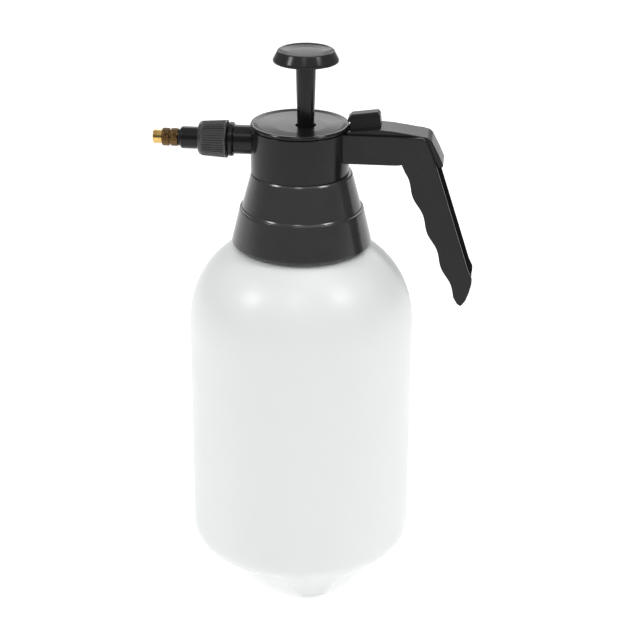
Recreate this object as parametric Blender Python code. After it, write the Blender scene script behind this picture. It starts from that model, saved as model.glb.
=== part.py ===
"""Hand pressure sprayer: blow-moulded bottle on three feet, stepped screw collar,
pump head with side handle and thumb lever, knob-and-rod air pump, brass spray tip.

Metres, +Z up.  The nozzle points to -X and the handle stands on the +X side.
Every dimension below is in millimetres in the bottle's own frame (bottle axis at
x = y = 0, feet on z = 0).  The empty "sprayer" carries the whole object and puts
the middle of its outline over the origin.
"""

import math

import bmesh
import bpy
from mathutils import Matrix, Vector

MM = 0.001
GAP = 0.3                     # gap between pieces that touch

# ---- whole object -----------------------------------------------------------
TIP_FRONT_X = -79.1           # front of the brass tip
HANDLE_REAR_X = 92.2          # rearmost point of the grip
ROOT_X = -(TIP_FRONT_X + HANDLE_REAR_X) / 2

# ---- bottle -----------------------------------------------------------------
BODY_R = 61.0
WALL = 1.9
BODY_LOW_Z = 29.5             # cylinder ends, base corner begins
SHOULDER_Z = 145.4            # cylinder ends, shoulder begins
SHOULDER_H = 58.8
NECK_ROOT_R = 23.7
NECK_BORE_R = 21.0
NECK_TOP_Z = 228.2
FOOT_ANGLES = (-75.0, 45.0, 165.0)
FOOT_HALF_ANGLE = 26.0
FOOT_DROP = 15.0              # how far a foot stands below the dome
BIG_SEG = 48

# ---- screw thread of neck and collar -----------------------------------------
PITCH = 4.0
THREAD_TURNS = 1.25
THREAD_STEPS = 24             # per turn
NECK_THREAD_Z = 209.0

# ---- collar -----------------------------------------------------------------
COLLAR_TOP_Z = 236.0
COLLAR_LOW_Z = 197.0
COLLAR_R = 37.49
SLEEVE_BORE_R = 25.5
SLEEVE_R = 27.3
COLLAR_HOLE_R = 23.4
HEAD_SEG = 36

# ---- head ---------------------------------------------------------------------
HEAD_X = -1.0                 # axis of the round housing
HEAD_R = 26.0
HEAD_WALL = 2.4
HEAD_LOW_Z = 236.4
HEAD_TOP_Z = 260.1
STUB_R = 23.0
FLANGE_R = 25.1
FLOOR_LOW_Z = 230.6
FLOOR_Z = 233.1

# ---- handle -------------------------------------------------------------------
HANDLE_W = 22.0
HANDLE_WALL = 1.8
ARM_TOP_Z = 259.5
ARM_LOW_Z = 244.3
GRIP_P = (70.6, 246.7)        # a point on the grip's back edge
GRIP_TILT = 18.04             # from the vertical, degrees
GRIP_T0 = 17.05               # thickness at the top of the grip
GRIP_TAPER = 0.0745
WAVE_AMP = 0.75
WAVE_PITCH = 21.0
WAVE_CREST = 15.5

# ---- thumb lever ----------------------------------------------------------------
LEVER_W = 17.8
PIVOT = (64.0, 251.0)
TRUNNION_R = 2.0
LEVER_FRONT_R = 27.0
NOSE_W = 7.0

# ---- pump -----------------------------------------------------------------------
PUMP_X = 2.0
ROD_R = 4.45
ROD_TOP_R = 5.25
BARREL_R = 9.0
BARREL_BORE_R = 7.6
BARREL_LOW_Z = 150.0
BARREL_TOP_Z = 256.8
LID_EDGE_R = 25.0
LID_RIM_R = 26.1
LID_LOW_Z = 260.4
LID_EDGE_Z = 262.6
LID_HOLE_R = 5.5
KNOB_R = 17.3
KNOB_TOP_R = 14.2
KNOB_LOW_Z = 295.5
KNOB_TOP_Z = 301.8
PISTON_LOW_Z = 193.0
PISTON_R = 7.3

# ---- valve -----------------------------------------------------------------------
VALVE_X = 16.3
VALVE_R = 4.0
VALVE_TOP_Z = 248.3
VALVE_LOW_Z = 219.0

# ---- nozzle, all stations measured along X on this axis ---------------------------
NOZZLE_Z = 252.1
SPIGOT_R = 7.7
NUT_R = 10.0
NUT_FRONT_R = 9.2
STEM_R = 5.9
CAP_R = 4.75
TIP_R = 3.65


# =============================================================================
# scene and helpers
# =============================================================================
for leftover in list(bpy.data.objects):
    bpy.data.objects.remove(leftover, do_unlink=True)

root = bpy.data.objects.new("sprayer", None)
bpy.context.scene.collection.objects.link(root)
root.location = (ROOT_X * MM, 0.0, 0.0)


def material(name, colour, roughness, metallic=0.0, transmission=0.0):
    mat = bpy.data.materials.new(name)
    mat.use_nodes = True
    shader = mat.node_tree.nodes["Principled BSDF"]
    shader.inputs["Base Color"].default_value = (*colour, 1.0)
    shader.inputs["Roughness"].default_value = roughness
    shader.inputs["Metallic"].default_value = metallic
    shader.inputs["Transmission Weight"].default_value = transmission
    mat.diffuse_color = (*colour, 1.0)
    return mat


GREY = material("charcoal_plastic", (0.040, 0.040, 0.042), 0.38)
MILKY = material("milky_polyethylene", (0.86, 0.88, 0.87), 0.42, 0.0, 0.15)
BRASS = material("turned_brass", (0.80, 0.56, 0.22), 0.22, 1.0)
RUBBER = material("black_rubber", (0.015, 0.015, 0.015), 0.7)
STEEL = material("spring_steel", (0.60, 0.60, 0.62), 0.3, 1.0)
INNER = material("white_polypropylene", (0.72, 0.72, 0.70), 0.45)
HOSE = material("clear_hose", (0.75, 0.78, 0.78), 0.3, 0.0, 0.4)


def finish(bm, name, mat, origin=(0.0, 0.0, 0.0), helper=False):
    """Make an object of a millimetre bmesh, with its own origin, under the root."""
    bmesh.ops.remove_doubles(bm, verts=bm.verts, dist=1e-4)
    bmesh.ops.recalc_face_normals(bm, faces=bm.faces)
    if bm.calc_volume(signed=True) < 0:
        bmesh.ops.reverse_faces(bm, faces=bm.faces)
    shift = Vector(origin)
    for vert in bm.verts:
        vert.co = (vert.co - shift) * MM
    mesh = bpy.data.meshes.new(name)
    bm.to_mesh(mesh)
    bm.free()
    mesh.shade_smooth()
    mesh.set_sharp_from_angle(angle=math.radians(35))
    obj = bpy.data.objects.new(name, mesh)
    bpy.context.scene.collection.objects.link(obj)
    obj.parent = root
    obj.location = shift * MM
    if helper:
        obj.hide_render = True
        obj.display_type = "WIRE"
    else:
        mesh.materials.append(mat)
    return obj


def turned(profile, seg, centre=(0.0, 0.0), axis="Z"):
    """Spin a profile of (radius, height) points.  A profile whose two ends lie on
    the axis is left open there; any other profile is a closed ring section."""
    bm = bmesh.new()
    cx, cy = centre
    if axis == "Z":
        points = [Vector((cx + r, cy, h)) for r, h in profile]
        middle, direction = (cx, cy, 0.0), (0, 0, 1)
    else:                                     # "X": centre is (y, z)
        points = [Vector((h, cx + r, cy)) for r, h in profile]
        middle, direction = (0.0, cx, cy), (1, 0, 0)
    verts = [bm.verts.new(p) for p in points]
    edges = [bm.edges.new(pair) for pair in zip(verts, verts[1:])]
    if profile[0][0] > 1e-6 or profile[-1][0] > 1e-6:
        edges.append(bm.edges.new((verts[-1], verts[0])))
    bmesh.ops.spin(bm, geom=verts + edges, cent=middle, axis=direction,
                   angle=math.tau, steps=seg, use_merge=True)
    bmesh.ops.remove_doubles(bm, verts=bm.verts, dist=1e-4)
    bmesh.ops.dissolve_degenerate(bm, edges=bm.edges, dist=1e-5)
    return bm


def prism(outline, low, high):
    """Extrude an (x, z) outline along Y from low to high."""
    bm = bmesh.new()
    face = bm.faces.new([bm.verts.new((x, low, z)) for x, z in outline])
    made = bmesh.ops.extrude_face_region(bm, geom=[face])
    moved = [g for g in made["geom"] if isinstance(g, bmesh.types.BMVert)]
    bmesh.ops.translate(bm, verts=moved, vec=(0.0, high - low, 0.0))
    return bm


def box(low, high):
    return prism([(low[0], low[2]), (high[0], low[2]), (high[0], high[2]),
                  (low[0], high[2])], low[1], high[1])


def rod_between(start, end, radius, seg=20):
    """A plain cylinder from start to end."""
    bm = bmesh.new()
    start, end = Vector(start), Vector(end)
    bmesh.ops.create_cone(bm, cap_ends=True, segments=seg, radius1=radius,
                          radius2=radius, depth=(end - start).length)
    turn = (end - start).to_track_quat("Z", "Y").to_matrix().to_4x4()
    bmesh.ops.transform(bm, matrix=turn, verts=bm.verts)
    bmesh.ops.translate(bm, verts=bm.verts, vec=(start + end) / 2)
    return bm


def swept(points, sections, closed=False):
    """Skin a tube through a list of rings of points."""
    bm = bmesh.new()
    rings = [[bm.verts.new(p) for p in ring] for ring in sections]
    count = len(rings[0])
    pairs = list(zip(rings, rings[1:] + ([rings[0]] if closed else [])))
    if not closed:
        pairs = list(zip(rings, rings[1:]))
    for one, two in pairs:
        for i in range(count):
            j = (i + 1) % count
            bm.faces.new((one[i], one[j], two[j], two[i]))
    if not closed:
        bm.faces.new(rings[0][::-1])
        bm.faces.new(rings[-1])
    return bm


def torus(ring_r, wire_r, height, seg=20, sides=6, centre=(0.0, 0.0), axis="Z"):
    section = [(ring_r + wire_r * math.cos(math.tau * k / sides),
                height + wire_r * math.sin(math.tau * k / sides)) for k in range(sides)]
    return turned(section, seg, centre, axis)


def helix_ridge(base_r, crest_r, base_w, crest_w, z0, turns, steps):
    """A trapezoid ridge on a helix; its height grows from nothing over the first
    few steps and dies away over the last."""
    total = int(turns * steps)
    rings = []
    for k in range(total + 1):
        angle = math.tau * k / steps
        z = z0 + PITCH * k / steps
        ease = min(1.0, (k + 0.4) / 3.0, (total - k + 0.4) / 3.0)
        top = base_r + (crest_r - base_r) * ease
        ring = []
        for r, dz in ((base_r, -base_w / 2), (top, -crest_w / 2),
                      (top, crest_w / 2), (base_r, base_w / 2)):
            ring.append(Vector((r * math.cos(angle), r * math.sin(angle), z + dz)))
        rings.append(ring)
    return swept(None, rings)


def coil(ring_r, wire_r, z0, z1, turns, centre, steps=10, sides=5):
    """An open-ended compression spring."""
    total = int(turns * steps)
    rings = []
    for k in range(total + 1):
        angle = math.tau * k / steps
        z = z0 + wire_r + (z1 - z0 - 2 * wire_r) * k / total
        out = Vector((math.cos(angle), math.sin(angle), 0.0))
        mid = Vector((centre[0], centre[1], z)) + out * ring_r
        rings.append([mid + out * wire_r * math.cos(math.tau * s / sides)
                      + Vector((0, 0, wire_r * math.sin(math.tau * s / sides)))
                      for s in range(sides)])
    return swept(None, rings)


def boolean(obj, other, operation):
    mod = obj.modifiers.new(operation.lower(), "BOOLEAN")
    mod.operation = operation
    mod.solver = "EXACT"
    mod.object = other


def cut(obj, bm, name):
    boolean(obj, finish(bm, name, None, helper=True), "DIFFERENCE")


def join(obj, bm, name):
    boolean(obj, finish(bm, name, None, helper=True), "UNION")


# =============================================================================
# bottle
# =============================================================================
def smooth(t):
    t = max(0.0, min(1.0, t))
    return t * t * (3 - 2 * t)


def shoulder_r(z):
    """A slightly squared dome: full at the cylinder, closing in to the neck."""
    t = max(0.0, (z - SHOULDER_Z) / SHOULDER_H)
    return BODY_R * (1 - t ** 2.505) ** (1 / 1.94)


def foot_drop(r, angle):
    """How far the base is pushed down at a point by the nearest foot."""
    if r > 45:
        across = smooth((60.0 - r) / 15.0)
    elif r < 39:
        across = smooth((r - 22.0) / 17.0)
    else:
        across = 1.0
    drop = 0.0
    for foot in FOOT_ANGLES:
        off = abs((math.degrees(angle) - foot + 180.0) % 360.0 - 180.0)
        if off < FOOT_HALF_ANGLE:
            around = min(1.0, 1.25 * math.cos(math.pi / 2 * off / FOOT_HALF_ANGLE) ** 2)
            drop = max(drop, FOOT_DROP * across * around)
    return drop


outer = [(24.3, 201.2), (26.0, 199.9)]
outer += [(shoulder_r(z), z) for z in (198.5, 196.5, 193.0, 188.5, 183.0, 176.0, 167.0, 156.5)]
outer += [(BODY_R, SHOULDER_Z), (BODY_R, BODY_LOW_Z)]
BASE_OUT = [(60.2, 24.3), (57.5, 20.0), (53.0, 16.8), (48.5, 15.35), (45.0, 15.0),
            (39.0, 15.0), (33.5, 15.5), (27.0, 16.5), (14.0, 18.0), (0.0, 18.6)]
BASE_IN = [(58.3, 25.0), (55.9, 21.6), (52.0, 18.7), (44.6, 17.0), (39.4, 17.0),
           (33.0, 17.6), (26.0, 18.6), (14.0, 19.9), (0.0, 20.5)]
inner = [(21.6, 201.0), (24.6, 198.3)]
for z in (198.5, 194.5, 188.5, 180.0, 167.0):
    slope = (shoulder_r(z + 0.2) - shoulder_r(z - 0.2)) / 0.4
    length = math.hypot(1.0, slope)
    inner.append((shoulder_r(z) - WALL / length, z + WALL * slope / length))
inner += [(BODY_R - WALL, SHOULDER_Z - 0.5), (BODY_R - WALL, BODY_LOW_Z + 0.3)]
profile = (BASE_IN[::-1] + inner[::-1]
           + [(NECK_BORE_R, 203.0), (NECK_BORE_R, NECK_TOP_Z - 0.3),
              (NECK_BORE_R + 0.3, NECK_TOP_Z), (NECK_ROOT_R - 0.4, NECK_TOP_Z),
              (NECK_ROOT_R, NECK_TOP_Z - 0.4), (NECK_ROOT_R, 202.8)]
           + outer + BASE_OUT)
bm = turned(profile, BIG_SEG)
for vert in bm.verts:
    r = math.hypot(vert.co.x, vert.co.y)
    if vert.co.z < BODY_LOW_Z - 1.0 and r > 22.0:
        vert.co.z -= foot_drop(r, math.atan2(vert.co.y, vert.co.x))
bottle = finish(bm, "bottle", MILKY)
join(bottle, helix_ridge(NECK_ROOT_R - 0.4, NECK_ROOT_R + 1.4, 2.4, 1.0,
                         NECK_THREAD_Z, THREAD_TURNS, THREAD_STEPS), "neck_thread_guide")

# =============================================================================
# collar: stepped cone outside, threaded sleeve inside
# =============================================================================
profile = [(COLLAR_HOLE_R, COLLAR_TOP_Z), (26.1, COLLAR_TOP_Z), (26.75, 235.6),
           (26.96, 234.9), (31.75, 217.4), (32.15, 216.6), (32.85, 216.3),
           (33.25, 215.5), (37.3, 198.4), (COLLAR_R, 197.5), (37.2, COLLAR_LOW_Z),
           (35.7, COLLAR_LOW_Z), (31.1, 214.6), (29.85, 216.6), (27.75, 225.4),
           (SLEEVE_R, 225.0), (SLEEVE_R, 203.5), (SLEEVE_BORE_R + 0.5, 203.5),
           (SLEEVE_BORE_R, 204.0), (SLEEVE_BORE_R, 233.4), (COLLAR_HOLE_R, 233.4)]
collar = finish(turned(profile, HEAD_SEG), "collar", GREY)
join(collar, helix_ridge(SLEEVE_BORE_R + 0.4, SLEEVE_BORE_R - 1.4, 2.2, 0.9,
                         NECK_THREAD_Z - PITCH / 2, THREAD_TURNS, THREAD_STEPS),
     "collar_thread_guide")

finish(turned([(21.4, 228.5), (24.9, 228.5), (24.9, 230.3), (21.4, 230.3)], HEAD_SEG),
       "neck_gasket", RUBBER)


# =============================================================================
# head: round housing, floor and flange, arm and grip, outlet spigot (one moulding)
# =============================================================================
profile = [(0.0, FLOOR_LOW_Z), (FLANGE_R, FLOOR_LOW_Z), (FLANGE_R, FLOOR_Z),
           (STUB_R, FLOOR_Z), (STUB_R, HEAD_LOW_Z), (25.5, HEAD_LOW_Z),
           (HEAD_R, HEAD_LOW_Z + 0.5), (HEAD_R, HEAD_TOP_Z),
           (HEAD_R - HEAD_WALL, HEAD_TOP_Z), (HEAD_R - HEAD_WALL, 239.2),
           (20.8, 239.2), (20.8, FLOOR_Z), (0.0, FLOOR_Z)]
bm = turned(profile, HEAD_SEG)
for vert in bm.verts:                       # the housing stands a little off the neck
    r = math.hypot(vert.co.x, vert.co.y)
    if vert.co.z > HEAD_LOW_Z - 0.1 and r > STUB_R + 0.3:
        vert.co.x += HEAD_X
head = finish(bm, "head_body", GREY)


def grip(s, t):
    """A point s down the grip's back edge and t in from it towards the fingers."""
    a = math.radians(GRIP_TILT)
    return (GRIP_P[0] + s * math.sin(a) - t * math.cos(a),
            GRIP_P[1] - s * math.cos(a) - t * math.sin(a))


def finger_t(s):
    """Thickness of the grip: it tapers, with three shallow finger waves."""
    return (GRIP_T0 - GRIP_TAPER * s
            + WAVE_AMP * math.cos(math.tau * (s - WAVE_CREST) / WAVE_PITCH))


def arc(cx, cz, r, a0, a1, n):
    return [(cx + r * math.cos(math.radians(a0 + (a1 - a0) * k / n)),
             cz + r * math.sin(math.radians(a0 + (a1 - a0) * k / n))) for k in range(n + 1)]


outline = [(21.6, ARM_LOW_Z), (21.6, ARM_TOP_Z)]
outline += arc(62.6, ARM_TOP_Z - 4.5, 4.5, 90, 12, 4)
outline += [grip(0.0, 0.0), grip(64.9, 0.0), grip(67.8, -0.7), grip(70.5, 0.2),
            grip(75.0, 2.9), grip(79.0, 6.0), grip(81.6, 9.4), grip(79.6, 11.0)]
outline += [grip(s, finger_t(s)) for s in range(75, 0, -4)]
outline += [(53.2, ARM_LOW_Z + 0.3)]
handle = finish(prism(outline, -HANDLE_W / 2, HANDLE_W / 2), "handle_guide", None, helper=True)

pocket = [(20.0, 266.0), (20.0, ARM_LOW_Z + 2.1), (55.6, ARM_LOW_Z + 2.1)]
for low, high in ((5.0, 24.0), (25.8, 45.0), (46.8, 70.0)):
    steps = 5
    pocket += [grip(low, 4.5)] if low > 6 else []
    pocket += [grip(s, finger_t(s) - 2.1)
               for s in [low + (high - low) * k / steps for k in range(steps + 1)]]
    pocket += [grip(high, 4.5)] if high < 60 else []
pocket += [grip(73.0, 4.0), grip(68.0, -7.0), grip(-14.0, -7.0), (70.0, 266.0)]
half = HANDLE_W / 2 - HANDLE_WALL
cut(handle, prism(pocket, -half, half), "handle_pocket_guide")
boolean(head, handle, "UNION")
cut(head, rod_between((PIVOT[0], -half - 1.0, PIVOT[1]), (PIVOT[0], half + 1.0, PIVOT[1]),
                      TRUNNION_R + 0.3, 16), "trunnion_recess_guide")
cut(head, box((18.0, -4.2, 247.2), (27.0, 4.2, 257.4)), "nose_slot_guide")
cut(head, rod_between((HEAD_X, 0, 239.2), (HEAD_X, 0, 264.0), HEAD_R - HEAD_WALL, HEAD_SEG),
    "housing_bore_guide")

# outlet spigot, bead flange and the plain nipple that the nut screws over
profile = [(0.0, -48.5), (6.1, -48.5), (6.6, -48.0), (6.6, -38.6), (8.7, -38.6),
           (9.1, -38.1), (9.1, -36.5), (8.6, -35.9), (SPIGOT_R, -35.6),
           (SPIGOT_R, -25.2), (4.2, -25.2), (4.2, -20.5), (0.0, -20.5)]
join(head, turned(profile, 28, (0.0, NOZZLE_Z), "X"), "spigot_guide")
cut(head, rod_between((-50.0, 0, NOZZLE_Z), (-24.0, 0, NOZZLE_Z), 2.2, 16), "outlet_bore_guide")
cut(head, rod_between((-25.0, 0, NOZZLE_Z), (-18.0, 0, NOZZLE_Z), 2.5, 16), "hose_bore_guide")
cut(head, rod_between((PUMP_X, 0, 228.0), (PUMP_X, 0, 236.0), BARREL_R + GAP, 24), "barrel_hole_guide")
cut(head, rod_between((VALVE_X, 0, 228.0), (VALVE_X, 0, 236.0), VALVE_R + GAP, 24), "valve_hole_guide")

# =============================================================================
# lid: dished disc with an off-centre hole, locating skirt and rod guide
# =============================================================================
profile = [(0.0, LID_LOW_Z), (21.0, LID_LOW_Z), (21.0, 257.6), (23.3, 257.6),
           (23.3, LID_LOW_Z), (25.8, LID_LOW_Z), (LID_RIM_R, 260.8), (LID_RIM_R, 261.6),
           (25.7, 262.3), (LID_EDGE_R, LID_EDGE_Z), (24.0, 262.2), (16.0, 261.5), (0.0, 261.2)]
lid = finish(turned(profile, HEAD_SEG, (HEAD_X, 0.0)), "head_lid", GREY)
join(lid, rod_between((PUMP_X, 0, 255.2), (PUMP_X, 0, 260.9), 7.2, 28), "rod_guide_boss")
cut(lid, rod_between((PUMP_X, 0, 250.0), (PUMP_X, 0, 266.0), LID_HOLE_R, 28), "rod_hole_guide")

# =============================================================================
# pump: barrel, check valve, rod, knob, piston and its floating ring
# =============================================================================
profile = [(BARREL_BORE_R, BARREL_TOP_Z), (BARREL_R, BARREL_TOP_Z), (BARREL_R, 235.2),
           (11.0, 235.2), (11.0, 233.4), (BARREL_R, 233.4), (BARREL_R, BARREL_LOW_Z + 0.5),
           (BARREL_R - 0.5, BARREL_LOW_Z), (1.3, BARREL_LOW_Z), (1.3, BARREL_LOW_Z + 1.5),
           (BARREL_BORE_R, BARREL_LOW_Z + 1.5)]
barrel = finish(turned(profile, 24, (PUMP_X, 0.0)), "pump_barrel", INNER)
cut(barrel, rod_between((VALVE_X, 0, 232.0), (VALVE_X, 0, 237.0), VALVE_R + GAP, 24), "barrel_flange_guide")
for k in range(4):
    a = math.tau * (k + 0.5) / 4
    x, y = PUMP_X + 4.0 * math.cos(a), 4.0 * math.sin(a)
    cut(barrel, rod_between((x, y, 148.0), (x, y, 153.0), 0.9, 10), "air_hole_guide_%d" % k)

finish(turned([(0.0, 153.0), (0.9, 152.9), (1.6, 152.3), (1.6, 151.8), (1.0, 151.8),
               (1.0, 149.7), (5.7, 149.5), (6.3, 148.5), (2.4, 147.9), (0.0, 147.8)],
              16, (PUMP_X, 0.0)), "check_valve", RUBBER)

finish(turned([(0.0, 197.6), (2.5, 197.6), (2.5, 207.3), (ROD_R, 207.3), (ROD_R, 264.0),
               (ROD_TOP_R - 0.15, 288.0), (ROD_TOP_R, 295.0), (ROD_TOP_R, 298.6), (4.8, 299.1),
               (0.0, 299.1)], 24, (PUMP_X, 0.0)), "pump_rod", GREY, (PUMP_X, 0.0, 207.0))

finish(turned([(0.0, 300.4), (10.5, 300.9), (13.2, 301.4), (KNOB_TOP_R, KNOB_TOP_Z),
               (14.7, 301.4), (17.05, 297.0), (KNOB_R, 296.2), (17.0, KNOB_LOW_Z),
               (15.6, KNOB_LOW_Z), (12.9, 299.6), (7.6, 299.2), (7.3, 296.0), (5.6, 296.0),
               (5.6, 299.4), (0.0, 299.4)], 32, (PUMP_X, 0.0)),
       "pump_knob", GREY, (PUMP_X, 0.0, KNOB_LOW_Z))

finish(turned([(0.0, PISTON_LOW_Z), (6.6, PISTON_LOW_Z), (PISTON_R, 194.0), (PISTON_R, 197.2),
               (5.5, 197.2), (5.5, 201.6), (PISTON_R, 201.6), (PISTON_R, 206.0),
               (6.2, 207.0), (2.8, 207.0), (2.8, 197.3), (0.0, 197.3)],
              24, (PUMP_X, 0.0)), "piston", INNER, (PUMP_X, 0.0, PISTON_LOW_Z))

finish(torus(6.6, 0.85, 198.35, 24, 6, (PUMP_X, 0.0)), "piston_ring", RUBBER,
       (PUMP_X, 0.0, 198.35))

# =============================================================================
# thumb lever: hollow bar over the arm, skirt over the rear corner, thumb block,
# nose that reaches through the housing wall, and the cross shaft it rocks on
# =============================================================================
profile = [(23.5, 255.6), (23.5, 260.2), (26.0, 261.0), (33.0, 261.7), (41.0, 262.6),
           (48.5, 262.0), (56.0, 260.9), (63.0, 260.0), (66.4, 259.3), (68.3, 257.9),
           (70.3, 254.9), (72.4, 250.1), (74.2, 246.0), (74.9, 244.3), (74.4, 243.5),
           (72.5, 243.6), (71.9, 245.2), (70.2, 248.4), (66.6, 247.2), (61.4, 247.2), (58.6, 251.0), (53.0, 254.8)]
lever = finish(prism(profile, -LEVER_W / 2, LEVER_W / 2), "trigger_lever", GREY,
               (PIVOT[0], 0.0, PIVOT[1]))
hollow = [(28.6, 235.0), (28.6, 258.6), (41.0, 260.2), (56.0, 258.7), (63.4, 257.7),
          (66.6, 256.3), (69.3, 251.2), (71.9, 245.0), (72.6, 242.0), (71.5, 235.0)]
cut(lever, prism(hollow, -7.1, 7.1), "lever_hollow_guide")


def thumb_block():
    """A drafted block with a rounded front: wide at the bar, narrow at the top."""
    bm = bmesh.new()
    low = [bm.verts.new(p) for p in ((23.5, -5.0, 260.0), (42.0, -5.0, 260.0),
                                     (42.0, 5.0, 260.0), (23.5, 5.0, 260.0))]
    mid = [bm.verts.new(p) for p in ((24.4, -3.9, 266.4), (41.0, -3.6, 268.3),
                                     (41.0, 3.6, 268.3), (24.4, 3.9, 266.4))]
    top = [bm.verts.new(p) for p in ((27.3, -3.0, 268.8), (39.6, -3.0, 270.6),
                                     (39.6, 3.0, 270.6), (27.3, 3.0, 268.8))]
    bm.faces.new(low[::-1])
    bm.faces.new(top)
    for one, two in ((low, mid), (mid, top)):
        for i in range(4):
            j = (i + 1) % 4
            bm.faces.new((one[i], one[j], two[j], two[i]))
    return bm


join(lever, thumb_block(), "thumb_block_guide")
cut(lever, rod_between((HEAD_X, 0, 250.0), (HEAD_X, 0, 265.0), LEVER_FRONT_R, 96), "lever_front_guide")
join(lever, box((15.0, -NOSE_W / 2, 254.0), (29.0, NOSE_W / 2, 256.8)), "nose_guide")
join(lever, rod_between((PIVOT[0], -half - 0.7, PIVOT[1]), (PIVOT[0], half + 0.7, PIVOT[1]),
                        TRUNNION_R, 16), "trunnion_guide")

# =============================================================================
# valve: body, gland ring, pin, seat ring, spring; hose to the outlet; dip tube
# =============================================================================
profile = [(1.0, 209.0), (1.5, 209.0), (1.6, 210.0), (1.6, VALVE_LOW_Z), (VALVE_R, VALVE_LOW_Z),
           (VALVE_R, VALVE_TOP_Z), (2.7, VALVE_TOP_Z), (2.7, 246.6), (1.5, 246.6),
           (1.5, 244.4), (3.0, 244.0), (3.0, 238.9), (2.1, 238.9), (2.1, 237.2),
           (3.0, 237.2), (3.0, 220.5), (1.0, 220.5)]
valve = finish(turned(profile, 20, (VALVE_X, 0.0)), "valve_body", INNER)
PORT_Z = 242.5
join(valve, rod_between((VALVE_X, 3.4, PORT_Z), (VALVE_X, 8.4, PORT_Z), 2.95, 20), "port_boss_guide")
cut(valve, rod_between((VALVE_X, 0.0, PORT_Z), (VALVE_X, 6.0, PORT_Z), 1.3, 12), "port_guide")
cut(valve, rod_between((VALVE_X, 5.2, PORT_Z), (VALVE_X, 10.0, PORT_Z), 2.3, 16), "port_socket_guide")

finish(torus(1.98, 0.62, 247.4, 16, 6, (VALVE_X, 0.0)), "valve_gland_ring", RUBBER)
finish(turned([(0.0, 233.8), (2.5, 233.8), (2.6, 234.0), (2.6, 235.2), (1.2, 235.2),
               (1.2, 253.5), (1.0, 253.7), (0.0, 253.7)], 20, (VALVE_X, 0.0)),
       "valve_pin", STEEL, (VALVE_X, 0.0, 235.0))
finish(torus(2.12, 0.6, 236.2, 16, 6, (VALVE_X, 0.0)), "valve_seal", RUBBER,
       (VALVE_X, 0.0, 236.2))
finish(coil(2.2, 0.3, 220.8, 233.5, 7, (VALVE_X, 0.0)), "valve_spring", STEEL,
       (VALVE_X, 0.0, 220.8))


def hose_path(u):
    """Centre line of the outlet hose: out of the valve's port, round the back of the
    barrel, and forward into the spigot."""
    anchors = [Vector(p) for p in (
        (VALVE_X, 5.5, PORT_Z), (VALVE_X - 0.3, 10.5, PORT_Z + 0.2), (12.5, 15.0, 243.4),
        (5.0, 17.0, 245.0), (-3.4, 15.4, 247.8), (-9.6, 11.0, 250.2), (-13.6, 5.6, 251.6),
        (-17.0, 1.4, NOZZLE_Z), (-20.6, 0.0, NOZZLE_Z), (-23.8, 0.0, NOZZLE_Z))]
    n = len(anchors) - 1
    k = min(int(u * n), n - 1)
    f = u * n - k
    p0, p1, p2, p3 = (anchors[max(k - 1, 0)], anchors[k], anchors[k + 1],
                      anchors[min(k + 2, n)])
    return 0.5 * ((2 * p1) + (p2 - p0) * f + (2 * p0 - 5 * p1 + 4 * p2 - p3) * f * f
                  + (3 * p1 - p0 - 3 * p2 + p3) * f * f * f)


def tube_along(path, count, outer_r, inner_r, sides):
    """A hollow tube: an outer and an inner skin joined by a ring at each end."""
    bm = bmesh.new()
    points = [path(k / count) for k in range(count + 1)]
    frame_side = Vector((0.0, 0.0, 1.0))
    skins = ([], [])
    for k, point in enumerate(points):
        ahead = (points[min(k + 1, count)] - points[max(k - 1, 0)]).normalized()
        frame_side = (frame_side - ahead * frame_side.dot(ahead)).normalized()
        other = ahead.cross(frame_side)
        for skin, r in zip(skins, (outer_r, inner_r)):
            skin.append([bm.verts.new(point + frame_side * r * math.cos(math.tau * i / sides)
                                      + other * r * math.sin(math.tau * i / sides))
                         for i in range(sides)])
    for rings in skins:
        for one, two in zip(rings, rings[1:]):
            for i in range(sides):
                j = (i + 1) % sides
                bm.faces.new((one[i], one[j], two[j], two[i]))
    for end in (0, -1):
        for i in range(sides):
            j = (i + 1) % sides
            bm.faces.new((skins[0][end][i], skins[0][end][j], skins[1][end][j], skins[1][end][i]))
    return bm


finish(tube_along(hose_path, 18, 2.0, 1.2, 6), "outlet_hose", HOSE)

finish(turned([(1.9, 30.0), (2.9, 30.0), (2.9, 218.6), (1.9, 218.6)], 16, (VALVE_X, 0.0)),
       "dip_tube", HOSE)
strainer = finish(turned([(0.0, 22.2), (4.0, 22.2), (4.5, 22.8), (4.5, 36.0), (3.2, 36.0),
                          (3.2, 24.0), (0.0, 24.0)], 24, (VALVE_X, 0.0)), "intake_strainer", INNER)
for k in range(3):
    bm = box((-7.0, -0.7, 24.8), (7.0, 0.7, 28.8))
    bmesh.ops.rotate(bm, verts=bm.verts, cent=(0.0, 0.0, 0.0),
                     matrix=Matrix.Rotation(math.pi * k / 3, 3, "Z"))
    bmesh.ops.translate(bm, verts=bm.verts, vec=(VALVE_X, 0.0, 0.0))
    cut(strainer, bm, "strainer_slot_guide_%d" % k)

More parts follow.
